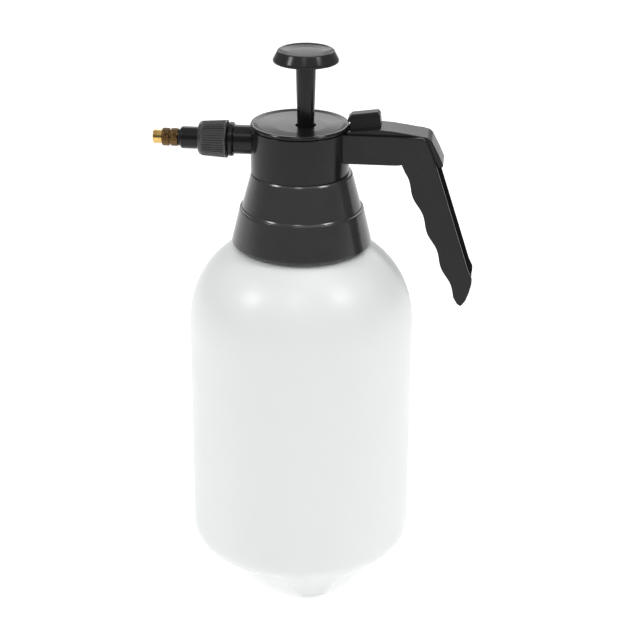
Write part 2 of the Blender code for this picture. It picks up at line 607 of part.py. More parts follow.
# =============================================================================
# spray nozzle: stem, washer, coupling nut, brass cap, its ring and the swirl core
# =============================================================================
axis = (0.0, NOZZLE_Z)
finish(turned([(2.6, -49.6), (6.0, -49.6), (6.0, -48.8), (2.6, -48.8)], 24, axis, "X"),
       "nozzle_washer", RUBBER)
finish(turned([(1.75, -72.0), (3.2, -72.0), (3.5, -71.6), (3.5, -64.4), (5.1, -64.4),
               (STEM_R, -63.6), (STEM_R, -52.0), (6.6, -52.0), (6.6, -49.9), (1.75, -49.9)],
              24, axis, "X"), "nozzle_stem", GREY, (-52.0, 0.0, NOZZLE_Z))
finish(turned([(6.2, -54.8), (7.4, -54.8), (8.5, -54.1), (NUT_FRONT_R, -52.2),
               (NUT_R, -39.8), (9.7, -39.4), (7.1, -39.4), (7.1, -52.3), (6.2, -52.3)],
              32, axis, "X"), "coupling_nut", GREY, (-48.0, 0.0, NOZZLE_Z))
finish(torus(4.02, 0.42, -64.9, 20, 6, axis, "X"), "nozzle_ring", RUBBER,
       (-64.9, 0.0, NOZZLE_Z))
finish(turned([(0.5, -79.1), (3.1, -79.1), (TIP_R, -78.7), (TIP_R, -74.2), (4.4, -74.2),
               (CAP_R, -73.8), (CAP_R, -70.1), (4.3, -70.0), (4.3, -69.6), (CAP_R, -69.5),
               (CAP_R, -65.8), (4.6, -65.6), (3.8, -65.6), (3.8, -72.6), (1.9, -72.6),
               (1.9, -77.3), (0.5, -77.6)], 24, axis, "X"),
       "nozzle_cap", BRASS, (-70.0, 0.0, NOZZLE_Z))
finish(turned([(0.0, -76.3), (1.2, -76.3), (1.45, -76.0), (1.45, -69.0), (0.9, -69.0),
               (0.9, -74.6), (0.0, -74.6)], 12, axis, "X"),
       "swirl_core", INNER, (-72.0, 0.0, NOZZLE_Z))
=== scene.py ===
"""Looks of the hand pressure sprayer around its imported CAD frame.

Sizes are in millimetres in the bottle's own frame (bottle axis x = y = 0, feet on
z = 0); ROOT_X moves them into the row frame, and everything ends up in metres.
"""
import math

import bmesh
import bpy
from mathutils import Matrix, Vector


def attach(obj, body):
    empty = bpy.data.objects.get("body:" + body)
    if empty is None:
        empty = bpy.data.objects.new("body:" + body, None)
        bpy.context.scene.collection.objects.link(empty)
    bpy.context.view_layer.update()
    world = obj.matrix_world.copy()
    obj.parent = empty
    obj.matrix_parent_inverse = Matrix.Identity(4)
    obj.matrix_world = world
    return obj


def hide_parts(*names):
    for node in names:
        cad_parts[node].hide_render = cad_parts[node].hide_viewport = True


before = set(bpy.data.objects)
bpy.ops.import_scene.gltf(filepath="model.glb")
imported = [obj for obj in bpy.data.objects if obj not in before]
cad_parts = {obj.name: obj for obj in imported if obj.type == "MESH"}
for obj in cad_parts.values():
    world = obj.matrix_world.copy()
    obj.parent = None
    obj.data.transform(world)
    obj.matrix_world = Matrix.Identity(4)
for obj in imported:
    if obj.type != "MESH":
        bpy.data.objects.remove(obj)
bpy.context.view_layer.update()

MM = 0.001
ROOT_X = -6.55
BODY_R, WALL, SHOULDER_Z, SHOULDER_H = 61.0, 1.9, 145.4, 58.8
FEET = (-75.0, 45.0, 165.0)
HEAD_X, HEAD_R, PUMP_X, VALVE_X, NOZZLE_Z = -1.0, 26.0, 2.0, 16.3, 252.1
PITCH = 4.0


# =============================================================================
# materials
# =============================================================================
def new_material(name):
    mat = bpy.data.materials.new(name)
    mat.use_nodes = True
    tree = mat.node_tree
    return mat, tree, tree.nodes["Principled BSDF"]


def noise(tree, scale, detail=3.0, rough=0.55, stretch=None):
    """Noise on the piece's own coordinates, in metres, optionally stretched."""
    coord = tree.nodes.new("ShaderNodeTexCoord")
    tex = tree.nodes.new("ShaderNodeTexNoise")
    tex.inputs["Scale"].default_value = scale
    tex.inputs["Detail"].default_value = detail
    tex.inputs["Roughness"].default_value = rough
    if stretch:
        mapping = tree.nodes.new("ShaderNodeMapping")
        mapping.inputs["Scale"].default_value = stretch
        tree.links.new(coord.outputs["Object"], mapping.inputs["Vector"])
        tree.links.new(mapping.outputs["Vector"], tex.inputs["Vector"])
    else:
        tree.links.new(coord.outputs["Object"], tex.inputs["Vector"])
    return tex


def ramp(tree, source, low, high, at=(0.3, 0.7)):
    node = tree.nodes.new("ShaderNodeValToRGB")
    node.color_ramp.elements[0].position = at[0]
    node.color_ramp.elements[1].position = at[1]
    node.color_ramp.elements[0].color = (*low, 1.0)
    node.color_ramp.elements[1].color = (*high, 1.0)
    tree.links.new(source.outputs["Fac"], node.inputs["Fac"])
    return node


def spread(tree, source, low, high):
    node = tree.nodes.new("ShaderNodeMapRange")
    node.inputs["From Min"].default_value = 0.3
    node.inputs["From Max"].default_value = 0.7
    node.inputs["To Min"].default_value = low
    node.inputs["To Max"].default_value = high
    tree.links.new(source.outputs["Fac"], node.inputs["Value"])
    return node


def bump(tree, shader, source, strength, distance):
    node = tree.nodes.new("ShaderNodeBump")
    node.inputs["Strength"].default_value = strength
    node.inputs["Distance"].default_value = distance
    tree.links.new(source.outputs["Fac"], node.inputs["Height"])
    tree.links.new(node.outputs["Normal"], shader.inputs["Normal"])
    return node


def plastic(name, low, high, rough, grain=1500.0, grain_strength=0.05, specular=0.5, stretch=None):
    """Moulded plastic: slight cloudiness of colour, uneven gloss and a fine grain."""
    mat, tree, shader = new_material(name)
    cloud = noise(tree, 22.0, 4.0, 0.6, stretch)
    tree.links.new(ramp(tree, cloud, low, high).outputs["Color"], shader.inputs["Base Color"])
    patch = noise(tree, 60.0, 3.0)
    tree.links.new(spread(tree, patch, *rough).outputs["Result"], shader.inputs["Roughness"])
    bump(tree, shader, noise(tree, grain, 2.0), grain_strength, 0.0001)
    shader.inputs["Specular IOR Level"].default_value = specular
    return mat


CHARCOAL = plastic("charcoal_plastic", (0.0060, 0.0060, 0.0065), (0.0095, 0.0095, 0.0100), (0.17, 0.23),
                   900.0, 0.012, 0.22)
CHARCOAL_SATIN = plastic("charcoal_plastic_satin", (0.0085, 0.0085, 0.0090), (0.0125, 0.0125, 0.0130),
                         (0.25, 0.33), 900.0, 0.02, 0.22)
# Lighter copy of the same charcoal plastic, used on the collar and the nut: its extra lightness is painted fill light,
# standing in for the bounce light from the white bottle onto the collar skirt.
CHARCOAL_PAINTED_FILL = plastic("charcoal_plastic_painted_fill", (0.0250, 0.0250, 0.0260), (0.0330, 0.0330, 0.0340),
                          (0.16, 0.21), 900.0, 0.010, 0.50)
# Lighter copy of the charcoal plastic for the knob: its extra lightness is painted light that brightens the knob's
# sides; the low specular level dims the reflection on the dished top.
CHARCOAL_KNOB_PAINTED_FILL = plastic("charcoal_plastic_knob_painted_fill", (0.0170, 0.0170, 0.0180), (0.0230, 0.0230, 0.0240),
                        (0.16, 0.22), 900.0, 0.012, 0.16)
WHITE = plastic("white_plastic", (0.66, 0.66, 0.63), (0.74, 0.74, 0.72), (0.36, 0.46))
HOSE = plastic("clear_hose", (0.66, 0.70, 0.70), (0.76, 0.79, 0.79), (0.22, 0.32))
HOSE.node_tree.nodes["Principled BSDF"].inputs["Transmission Weight"].default_value = 0.35
RUBBER = plastic("black_rubber", (0.008, 0.008, 0.008), (0.016, 0.016, 0.016), (0.55, 0.75), 900.0, 0.15)


def polyethylene():
    """Blow-moulded milky polyethylene: soft, faintly cool, with slow waviness."""
    mat, tree, shader = new_material("milky_polyethylene")
    cloud = noise(tree, 9.0, 3.0, 0.5, (1.0, 1.0, 0.45))
    tree.links.new(ramp(tree, cloud, (0.682, 0.707, 0.699), (0.728, 0.746, 0.739)).outputs["Color"],
                   shader.inputs["Base Color"])
    patch = noise(tree, 30.0, 3.0)
    tree.links.new(spread(tree, patch, 0.30, 0.38).outputs["Result"], shader.inputs["Roughness"])
    wave = noise(tree, 34.0, 3.0, 0.45, (1.0, 1.0, 0.5))
    bump(tree, shader, wave, 0.10, 0.0012)
    shader.inputs["Subsurface Weight"].default_value = 0.25
    shader.inputs["Subsurface Radius"].default_value = (1.0, 1.0, 1.0)
    shader.inputs["Subsurface Scale"].default_value = 0.004
    shader.inputs["Specular IOR Level"].default_value = 0.45
    return mat


MILKY = polyethylene()


def metal(name, low, high, rough, grain, strength, stretch):
    """Turned metal: uneven tone and fine turning lines round the axis."""
    mat, tree, shader = new_material(name)
    tone = noise(tree, 260.0, 3.0)
    tree.links.new(ramp(tree, tone, low, high).outputs["Color"], shader.inputs["Base Color"])
    patch = noise(tree, 420.0, 3.0)
    tree.links.new(spread(tree, patch, *rough).outputs["Result"], shader.inputs["Roughness"])
    bump(tree, shader, noise(tree, grain, 2.0, 0.5, stretch), strength, 0.00006)
    shader.inputs["Metallic"].default_value = 1.0
    return mat


BRASS = metal("polished_brass", (0.50, 0.32, 0.095), (0.66, 0.45, 0.160), (0.07, 0.12), 700.0, 0.05, (9.0, 1.0, 1.0))
# Darker, rougher brass for the outer face of the knurled ring.
BRASS_DULL = metal("darker_ring_brass", (0.090, 0.051, 0.019), (0.130, 0.077, 0.032), (0.20, 0.26), 700.0, 0.03, (9.0, 1.0, 1.0))
STEEL = metal("spring_steel", (0.50, 0.50, 0.52), (0.66, 0.66, 0.68), (0.22, 0.34), 900.0, 0.1, (1.0, 1.0, 6.0))


# =============================================================================
# mesh helpers
# =============================================================================
def rounded(points, closed=False, steps=5):
    """Round the corners of a profile.  A point is (r, z) or (r, z, corner radius)."""
    out, count = [], len(points)
    for i, point in enumerate(points):
        p = Vector(point[:2])
        radius = point[2] if len(point) > 2 else 0.0
        if radius <= 0 or (not closed and i in (0, count - 1)):
            out.append((p.x, p.y))
            continue
        a, b = Vector(points[i - 1][:2]) - p, Vector(points[(i + 1) % count][:2]) - p
        cosine = max(-0.9999, min(0.9999, a.normalized().dot(b.normalized())))
        back = radius / math.tan(math.acos(cosine) / 2)
        back = min(back, 0.48 * a.length, 0.48 * b.length)
        start, end = p + a.normalized() * back, p + b.normalized() * back
        for k in range(steps + 1):
            t = k / steps
            q = start * (1 - t) ** 2 + p * 2 * t * (1 - t) + end * t * t
            out.append((q.x, q.y))
    return out


def lathe(profile, seg, centre=(0.0, 0.0), axis="Z", closed=True, shape=None):
    """Turn a profile of (radius, height) points.  shape(r, h, angle) may change r."""
    bm = bmesh.new()
    rings = []
    for r, h in profile:
        ring = []
        for k in range(1 if r < 1e-6 else seg):
            a = math.tau * k / seg
            rr = shape(r, h, a) if shape and r > 1e-6 else r
            c, s = rr * math.cos(a), rr * math.sin(a)
            if axis == "Z":
                ring.append(bm.verts.new((centre[0] + c, centre[1] + s, h)))
            else:
                ring.append(bm.verts.new((h, centre[0] + c, centre[1] + s)))
        rings.append(ring)
    pairs = list(zip(rings, rings[1:]))
    if closed and profile[0][0] > 1e-6 and profile[-1][0] > 1e-6:
        pairs.append((rings[-1], rings[0]))
    for one, two in pairs:
        for k in range(seg):
            j = (k + 1) % seg
            quad = [one[k % len(one)], one[j % len(one)], two[j % len(two)], two[k % len(two)]]
            quad = [v for i, v in enumerate(quad) if v not in quad[:i]]
            if len(quad) > 2:
                bm.faces.new(quad)
    return tidy(bm)


def tidy(bm):
    bmesh.ops.remove_doubles(bm, verts=bm.verts, dist=1e-4)
    bmesh.ops.dissolve_degenerate(bm, edges=bm.edges, dist=1e-5)
    bmesh.ops.recalc_face_normals(bm, faces=bm.faces)
    if bm.calc_volume(signed=True) < 0:
        bmesh.ops.reverse_faces(bm, faces=bm.faces)
    return bm


def prism(outline, low, high, rim=None, radius=0.0, steps=3):
    """Extrude an (x, z) outline along Y.  rim(p) picks the outline points whose
    edges on both sides are rounded."""
    bm = bmesh.new()
    ring = [bm.verts.new((x, low, z)) for x, z in outline]
    far = [bm.verts.new((x, high, z)) for x, z in outline]
    bm.faces.new(ring)
    bm.faces.new(far[::-1])
    n = len(outline)
    for i in range(n):
        j = (i + 1) % n
        bm.faces.new((ring[j], ring[i], far[i], far[j]))
    tidy(bm)
    if rim:
        picked = [e for e in bm.edges
                  if abs(e.verts[0].co.y - e.verts[1].co.y) < 1e-6
                  and all(rim(v.co.x, v.co.z) for v in e.verts)]
        bmesh.ops.bevel(bm, geom=picked, offset=radius, segments=steps, profile=0.5,
                        affect="EDGES", clamp_overlap=True)
    return bm


def box(low, high):
    return prism([(low[0], low[2]), (high[0], low[2]), (high[0], high[2]), (low[0], high[2])],
                 low[1], high[1])


def bar(start, end, radius, seg=48):
    bm = bmesh.new()
    start, end = Vector(start), Vector(end)
    bmesh.ops.create_cone(bm, cap_ends=True, segments=seg, radius1=radius, radius2=radius,
                          depth=(end - start).length)
    turn = (end - start).to_track_quat("Z", "Y").to_matrix().to_4x4()
    bmesh.ops.transform(bm, matrix=turn, verts=bm.verts)
    bmesh.ops.translate(bm, verts=bm.verts, vec=(start + end) / 2)
    return bm


def skin(rings):
    bm = bmesh.new()
    rings = [[bm.verts.new(p) for p in ring] for ring in rings]
    n = len(rings[0])
    for one, two in zip(rings, rings[1:]):
        for i in range(n):
            j = (i + 1) % n
            bm.faces.new((one[i], one[j], two[j], two[i]))
    bm.faces.new(rings[0][::-1])
    bm.faces.new(rings[-1])
    return tidy(bm)


def helix_ridge(base_r, crest_r, base_w, crest_w, z0, turns, steps):
    total = int(turns * steps)
    rings = []
    for k in range(total + 1):
        a, z = math.tau * k / steps, z0 + PITCH * k / steps
        ease = min(1.0, (k + 0.4) / 6.0, (total - k + 0.4) / 6.0)
        top = base_r + (crest_r - base_r) * ease
        rings.append([Vector((r * math.cos(a), r * math.sin(a), z + dz))
                      for r, dz in ((base_r, -base_w / 2), (top, -crest_w / 2),
                                    (top, crest_w / 2), (base_r, base_w / 2))])
    return skin(rings)


def to_object(bm, name):
    for vert in bm.verts:
        vert.co = Vector((vert.co.x + ROOT_X, vert.co.y, vert.co.z)) * MM
    mesh = bpy.data.meshes.new(name)
    bm.to_mesh(mesh)
    bm.free()
    obj = bpy.data.objects.new(name, mesh)
    bpy.context.scene.collection.objects.link(obj)
    return obj


def combine(obj, bm, operation):
    """Exact Boolean with a throwaway tool, applied at once."""
    tool = to_object(bm, "tool")
    mod = obj.modifiers.new("op", "BOOLEAN")
    mod.operation, mod.solver, mod.object = operation, "EXACT", tool
    bpy.context.view_layer.update()
    graph = bpy.context.evaluated_depsgraph_get()
    made = bpy.data.meshes.new_from_object(obj.evaluated_get(graph))
    obj.modifiers.clear()
    old = obj.data
    obj.data = made
    bpy.data.meshes.remove(old)
    bpy.data.objects.remove(tool, do_unlink=True)
    return obj


def cut(obj, bm):
    return combine(obj, bm, "DIFFERENCE")


def join(obj, bm):
    return combine(obj, bm, "UNION")


def show(obj, body, mats, node=None, angle=34.0, weighted=False, pick=None):
    """Shade the piece, give it its materials and put it on its body."""
    mesh = obj.data
    mesh.materials.clear()
    for mat in mats:
        mesh.materials.append(mat)
    mesh.shade_smooth()
    mesh.set_sharp_from_angle(angle=math.radians(angle))
    for poly in mesh.polygons:
        poly.material_index = pick(poly.center / MM - Vector((ROOT_X, 0, 0))) if pick else 0
    if weighted:
        mod = obj.modifiers.new("normals", "WEIGHTED_NORMAL")
        mod.keep_sharp = True
        mod.weight = 100
    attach(obj, body)
    if node:
        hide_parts(node)
    return obj


# =============================================================================
# bottle
# =============================================================================
def smooth(t):
    t = max(0.0, min(1.0, t))
    return t * t * (3 - 2 * t)


def shoulder_r(z):
    t = max(0.0, (z - SHOULDER_Z) / SHOULDER_H)
    return BODY_R * (1 - t ** 2.505) ** (1 / 1.94)


def foot_drop(r, angle):
    if r > 42.5:
        across = smooth((60.0 - r) / 17.5)
    elif r < 39:
        across = smooth((r - 22.0) / 17.0)
    else:
        across = 1.0
    drop = 0.0
    for foot in FEET:
        off = abs((math.degrees(angle) - foot + 180.0) % 360.0 - 180.0)
        if off < 26.0:
            drop = max(drop, 15.0 * across * min(1.0, 1.25 * math.cos(math.pi / 2 * off / 26.0) ** 2))
    return drop


def resample(points, step):
    """Insert points along a polyline with a smooth curve through it (Catmull-Rom)."""
    out = []
    for i in range(len(points) - 1):
        p0, p1 = Vector(points[max(i - 1, 0)]), Vector(points[i])
        p2, p3 = Vector(points[i + 1]), Vector(points[min(i + 2, len(points) - 1)])
        n = max(1, round((p2 - p1).length / step))
        for k in range(n):
            t = k / n
            q = 0.5 * ((2 * p1) + (p2 - p0) * t + (2 * p0 - 5 * p1 + 4 * p2 - p3) * t * t
                       + (3 * p1 - p0 - 3 * p2 + p3) * t ** 3)
            out.append((q.x, q.y))
    out.append(tuple(points[-1]))
    return out


def steps(low, high, n):
    return [low + (high - low) * k / n for k in range(n + 1)]


shoulder = [(shoulder_r(z), z) for z in steps(199.6, 188.0, 12) + steps(187.0, SHOULDER_Z, 26)]
base_out = resample([(61.0, 29.5), (60.2, 24.3), (57.5, 20.0), (53.0, 16.8), (48.5, 15.35), (45.0, 15.0),
                     (39.0, 15.0), (33.5, 15.5), (27.0, 16.5), (14.0, 18.0), (0.0, 18.6)], 1.3)
base_in = resample([(59.1, 29.8), (58.3, 25.0), (55.9, 21.6), (52.0, 18.7), (44.6, 17.0), (39.4, 17.0),
                    (33.0, 17.6), (26.0, 18.6), (14.0, 19.9), (0.0, 20.5)], 1.6)
inside = [(21.6, 201.0), (24.6, 198.3)]
for z in steps(198.0, 150.0, 20):
    slope = (shoulder_r(z + 0.2) - shoulder_r(z - 0.2)) / 0.4
    inside.append((shoulder_r(z) - WALL / math.hypot(1, slope), z + WALL * slope / math.hypot(1, slope)))
inside.append((BODY_R - WALL, 144.9))
neck = rounded([(21.6, 201.0), (21.0, 203.0, 1.0), (21.0, 228.2, 0.4), (23.7, 228.2, 0.5),
                (23.7, 203.2, 1.5), (24.3, 201.2, 1.0), (26.0, 199.8)])
profile = (base_in[::-1] + [(59.1, z) for z in steps(35.0, 140.0, 12)] + inside[::-1][:-1] + neck
           + shoulder + [(BODY_R, z) for z in steps(141.0, 33.0, 24)] + base_out)
bm = lathe(profile, 192)
for vert in bm.verts:
    r = math.hypot(vert.co.x, vert.co.y)
    if vert.co.z < 28.5 and r > 22.0:
        vert.co.z = max(0.0, vert.co.z - foot_drop(r, math.atan2(vert.co.y, vert.co.x)))
bottle = to_object(bm, "bottle_moulding")
join(bottle, helix_ridge(23.3, 25.1, 2.4, 1.0, 209.0, 1.25, 72))
show(bottle, "bottle", [MILKY], "bottle", 40.0)

# =============================================================================
# collar: polished crown edge, cone, rolled step, wide skirt
# =============================================================================
profile = rounded([(23.4, 236.0, 0.5), (26.35, 236.0, 0.55), (27.0, 235.0, 0.7), (31.75, 217.2, 0.5),
                   (32.2, 216.55, 0.4), (32.95, 216.35, 0.55), (33.3, 215.2, 0.6), (37.3, 198.4, 0.3),
                   (37.49, 197.5, 0.3), (37.2, 197.0, 0.3), (35.7, 197.0, 0.3), (31.1, 214.6), (29.85, 216.6),
                   (27.75, 225.4, 0.6), (27.3, 225.0, 0.4), (27.3, 203.5), (26.0, 203.5, 0.3), (25.5, 204.0),
                   (25.5, 233.4, 0.4), (23.4, 233.4, 0.3)], True)
collar = to_object(lathe(profile, 192), "collar_ring")
join(collar, helix_ridge(25.9, 24.1, 2.2, 0.9, 207.0, 1.25, 72))
show(collar, "collar", [CHARCOAL_PAINTED_FILL], "collar")

# =============================================================================
# head: housing, arm and grip with their channel, spigot
# =============================================================================
T18 = math.radians(18.04)


def grip(s, t):
    return (70.6 + s * math.sin(T18) - t * math.cos(T18), 246.7 - s * math.cos(T18) - t * math.sin(T18))


def finger_t(s):
    return 17.05 - 0.0745 * s + 0.75 * math.cos(math.tau * (s - 15.5) / 21.0)


def arc(cx, cz, r, a0, a1, n):
    return [(cx + r * math.cos(math.radians(a0 + (a1 - a0) * k / n)),
             cz + r * math.sin(math.radians(a0 + (a1 - a0) * k / n))) for k in range(n + 1)]


profile = rounded([(0.0, 230.6), (25.1, 230.6, 0.3), (25.1, 233.1, 0.3), (23.0, 233.1), (23.0, 236.15),
                   (26.0, 236.15, 0.2), (26.0, 260.1, 0.35), (23.6, 260.1, 0.3), (23.6, 239.2), (20.8, 239.2),
                   (20.8, 233.1), (0.0, 233.1)])
bm = lathe(profile, 160)
for vert in bm.verts:
    if vert.co.z > 236.1 and math.hypot(vert.co.x, vert.co.y) > 23.3:
        vert.co.x += HEAD_X
head = to_object(bm, "pump_head")

outline = [(21.6, 244.3), (21.6, 259.5)] + arc(62.6, 255.0, 4.5, 90, 12, 12)
outline += [grip(s, 0.0) for s in steps(0.0, 63.0, 14)]
outline += rounded([grip(64.9, 0.0), grip(67.8, -0.7) + (2.5,), grip(70.5, 0.2) + (2.5,), grip(75.0, 2.9) + (3.0,),
                    grip(79.0, 6.0) + (2.0,), grip(81.6, 9.4) + (1.2,), grip(79.6, 11.0) + (1.5,), grip(76.0, finger_t(76.0))])[1:-1]
outline += [grip(s, finger_t(s)) for s in steps(75.5, 1.2, 74)]
outline += [(53.25, 244.5), (52.4, 244.3)]
handle = to_object(prism(outline, -11.0, 11.0, lambda x, z: x > 30.0, 0.9, 3), "handle_tool")
pocket = [(20.0, 266.0), (20.0, 246.4), (55.6, 246.4)]
for low, high in ((5.0, 24.0), (25.8, 45.0), (46.8, 70.0)):
    if low > 6:
        pocket.append(grip(low, 4.5))
    pocket += [grip(s, finger_t(s) - 2.1) for s in steps(low, high, 16)]
    if high < 60:
        pocket.append(grip(high, 4.5))
pocket += [grip(73.0, 4.0), grip(68.0, -7.0), grip(-14.0, -7.0), (70.0, 266.0)]
cut(handle, prism(pocket, -9.2, 9.2))


def absorb(obj, other, operation="UNION"):
    mod = obj.modifiers.new("op", "BOOLEAN")
    mod.operation, mod.solver, mod.object = operation, "EXACT", other
    bpy.context.view_layer.update()
    made = bpy.data.meshes.new_from_object(obj.evaluated_get(bpy.context.evaluated_depsgraph_get()))
    obj.modifiers.clear()
    obj.data = made
    bpy.data.objects.remove(other, do_unlink=True)


absorb(head, handle)
cut(head, bar((64.0, -10.2, 251.0), (64.0, 10.2, 251.0), 2.3))
cut(head, box((18.0, -4.2, 247.2), (27.0, 4.2, 257.4)))
cut(head, bar((HEAD_X, 0, 239.2), (HEAD_X, 0, 264.0), 23.6, 160))
profile = rounded([(0.0, -48.5), (6.1, -48.5, 0.3), (6.6, -48.0, 0.3), (6.6, -38.6), (8.7, -38.6, 0.4),
                   (9.1, -38.0, 0.5), (9.1, -36.6, 0.6), (8.6, -35.9, 0.4), (7.7, -35.5, 0.3), (7.7, -25.2),
                   (4.2, -25.2), (4.2, -20.5), (0.0, -20.5)])
join(head, lathe(profile, 72, (0.0, NOZZLE_Z), "X"))
cut(head, bar((-50.0, 0, NOZZLE_Z), (-24.0, 0, NOZZLE_Z), 2.2, 32))
cut(head, bar((-25.0, 0, NOZZLE_Z), (-18.0, 0, NOZZLE_Z), 2.5, 32))
cut(head, bar((PUMP_X, 0, 228.0), (PUMP_X, 0, 236.0), 9.3, 48))
cut(head, bar((VALVE_X, 0, 228.0), (VALVE_X, 0, 236.0), 4.3, 32))
show(head, "head", [CHARCOAL_SATIN, CHARCOAL], "head_body", 32.0, True,
     lambda c: 0 if c.x > 26.5 else 1)

# =============================================================================
# lid
# =============================================================================
profile = rounded([(0.0, 260.4), (21.0, 260.4), (21.0, 257.6, 0.2), (23.3, 257.6, 0.2), (23.3, 260.4),
                   (25.7, 260.4, 0.3), (26.1, 260.9, 0.3), (26.1, 261.7, 0.5), (25.6, 262.5, 0.6),
                   (24.6, 262.55, 0.8), (22.5, 261.95, 2.0), (14.0, 261.35, 3.0), (0.0, 261.2)])
lid = to_object(lathe(profile, 160, (HEAD_X, 0.0)), "lid_disc")
join(lid, bar((PUMP_X, 0, 255.2), (PUMP_X, 0, 260.9), 7.2, 64))
cut(lid, bar((PUMP_X, 0, 250.0), (PUMP_X, 0, 266.0), 5.5, 72))
show(lid, "head", [CHARCOAL], "head_lid")

# =============================================================================
# plunger: rod and knob
# =============================================================================
profile = rounded([(0.0, 197.6), (2.5, 197.6, 0.3), (2.5, 207.3), (4.45, 207.3, 0.3), (4.5, 264.0, 20.0),
                   (5.15, 288.0, 10.0), (5.25, 295.0), (5.25, 298.6, 0.3), (4.8, 299.1, 0.2), (0.0, 299.1)])
show(to_object(lathe(profile, 96, (PUMP_X, 0.0)), "plunger_rod"), "plunger", [CHARCOAL],
     "pump_rod")
profile = rounded([(0.0, 300.35), (9.0, 300.5, 6.0), (12.6, 301.2, 1.5), (14.0, 301.78, 0.7), (14.75, 301.3, 0.6),
                   (16.95, 297.2, 0.7), (17.3, 296.3, 0.5), (17.05, 295.6, 0.35), (16.4, 295.5, 0.3),
                   (15.6, 295.7, 0.3), (12.9, 299.6, 1.0), (7.9, 299.2, 0.6), (7.4, 296.0, 0.3),
                   (5.6, 296.0, 0.2), (5.6, 299.4), (0.0, 299.4)])
show(to_object(lathe(profile, 128, (PUMP_X, 0.0)), "plunger_knob"), "plunger", [CHARCOAL_KNOB_PAINTED_FILL],
     "pump_knob")

# =============================================================================
# thumb lever
# =============================================================================
top = rounded([(23.5, 260.6), (33.0, 261.5, 10.0), (41.2, 262.5, 10.0), (48.0, 262.05, 10.0), (57.0, 260.8, 10.0),
               (66.4, 259.3, 3.0), (68.4, 257.8, 3.0), (72.4, 250.1, 8.0), (74.2, 246.1, 3.0), (74.95, 244.2, 1.2),
               (74.4, 243.5)])
under = [(72.5, 243.6), (71.9, 245.2), (70.2, 248.4), (66.6, 247.2), (61.4, 247.2), (58.6, 251.0),
         (53.0, 254.8), (23.5, 255.6)]
on_top = {(round(x, 3), round(z, 3)) for x, z in top}
lever = to_object(prism(top + under, -8.9, 8.9, lambda x, z: (round(x, 3), round(z, 3)) in on_top, 1.1, 4),
                  "thumb_lever")
hollow = [(28.6, 235.0), (28.6, 258.6), (41.0, 260.2), (56.0, 258.7), (63.4, 257.7),
          (66.6, 256.3), (69.3, 251.2), (71.9, 245.0), (72.6, 242.0), (71.5, 235.0)]
cut(lever, prism(hollow, -7.1, 7.1))


def thumb_block():
    bm = bmesh.new()
    low = [bm.verts.new(p) for p in ((23.9, -5.1, 259.8), (42.2, -5.1, 259.8), (42.2, 5.1, 259.8), (23.9, 5.1, 259.8))]
    mid = [bm.verts.new(p) for p in ((24.4, -3.95, 266.6), (41.2, -3.75, 268.9), (41.2, 3.75, 268.9), (24.4, 3.95, 266.6))]
    top = [bm.verts.new(p) for p in ((26.4, -3.2, 268.7), (39.9, -3.0, 270.6), (39.9, 3.0, 270.6), (26.4, 3.2, 268.7))]
    bm.faces.new(low[::-1])
    bm.faces.new(top)
    for one, two in ((low, mid), (mid, top)):
        for i in range(4):
            j = (i + 1) % 4
            bm.faces.new((one[i], one[j], two[j], two[i]))
    tidy(bm)
    edges = [e for e in bm.edges if e.calc_face_angle(0.0) > math.radians(12)]
    bmesh.ops.bevel(bm, geom=edges, offset=0.4, segments=3, profile=0.5, affect="EDGES", clamp_overlap=True)
    return bm


join(lever, thumb_block())
cut(lever, bar((HEAD_X, 0, 250.0), (HEAD_X, 0, 265.0), 27.0, 320))
join(lever, box((15.0, -3.5, 254.0), (29.0, 3.5, 256.8)))
join(lever, bar((64.0, -9.9, 251.0), (64.0, 9.9, 251.0), 2.0, 40))
show(lever, "trigger", [CHARCOAL_SATIN], "trigger_lever", 32.0, True)

# =============================================================================
# spray nozzle
# =============================================================================
RIBS = 46


def ribbed(r, x, angle):
    """Straight ribs on the outside of the nut, dying away at both ends."""
    if r < 8.7 or x > -39.8:
        return r
    ease = smooth((x + 53.0) / 1.3) * smooth((-39.9 - x) / 0.7)
    wave = 0.5 + 0.5 * math.cos(RIBS * angle)
    return r - 0.42 * ease * (1.0 - wave ** 0.55)


def nut_r(x):
    return 9.2 + 0.8 * (x + 52.2) / 12.4


profile = rounded([(6.2, -54.8, 0.2), (7.3, -54.8, 1.0), (8.5, -54.15, 1.0), (9.15, -52.9, 0.6), (nut_r(-52.0), -52.0)])
profile += [(nut_r(x), x) for x in steps(-51.4, -41.0, 14)]
profile += [(nut_r(-40.6), -40.6), (nut_r(-40.3), -40.3), (10.0, -40.0), (10.0, -39.6), (9.9, -39.42),
            (9.6, -39.4), (7.3, -39.4), (7.1, -39.6), (7.1, -52.3), (6.2, -52.3)]
# The nut's end face (x > -39.75) takes the dark rough rubber instead of the nut's plastic: painted shade for the dark
# gap between the nut and the spigot flange, dimming its reflection. The rest of the nut shares the collar's lighter
# charcoal with its painted fill light.
show(to_object(lathe(profile, RIBS * 10, (0.0, NOZZLE_Z), "X", True, ribbed), "ribbed_nut"), "coupling_nut",
     [CHARCOAL_PAINTED_FILL, RUBBER], "coupling_nut", 50.0, False, lambda c: 1 if c.x > -39.75 else 0)

profile = rounded([(1.75, -72.0), (3.2, -72.0, 0.2), (3.5, -71.6, 0.2), (3.5, -64.4), (5.1, -64.4, 0.5),
                   (5.9, -63.5, 0.8), (5.9, -52.0), (6.6, -52.0, 0.2), (6.6, -49.9, 0.2), (1.75, -49.9)], True)
show(to_object(lathe(profile, 80, (0.0, NOZZLE_Z), "X"), "nozzle_tube"), "nozzle_stem", [CHARCOAL],
     "nozzle_stem")

KNURL = 44


def knurled(r, x, angle):
    if r < 4.6 or not -73.7 < x < -65.9:
        return r
    ease = smooth((x + 73.7) / 0.4) * smooth((-65.9 - x) / 0.4)
    if -70.2 < x < -69.2:
        ease = 0.0
    return r - 0.09 * ease * (0.5 - 0.5 * math.cos(KNURL * angle))


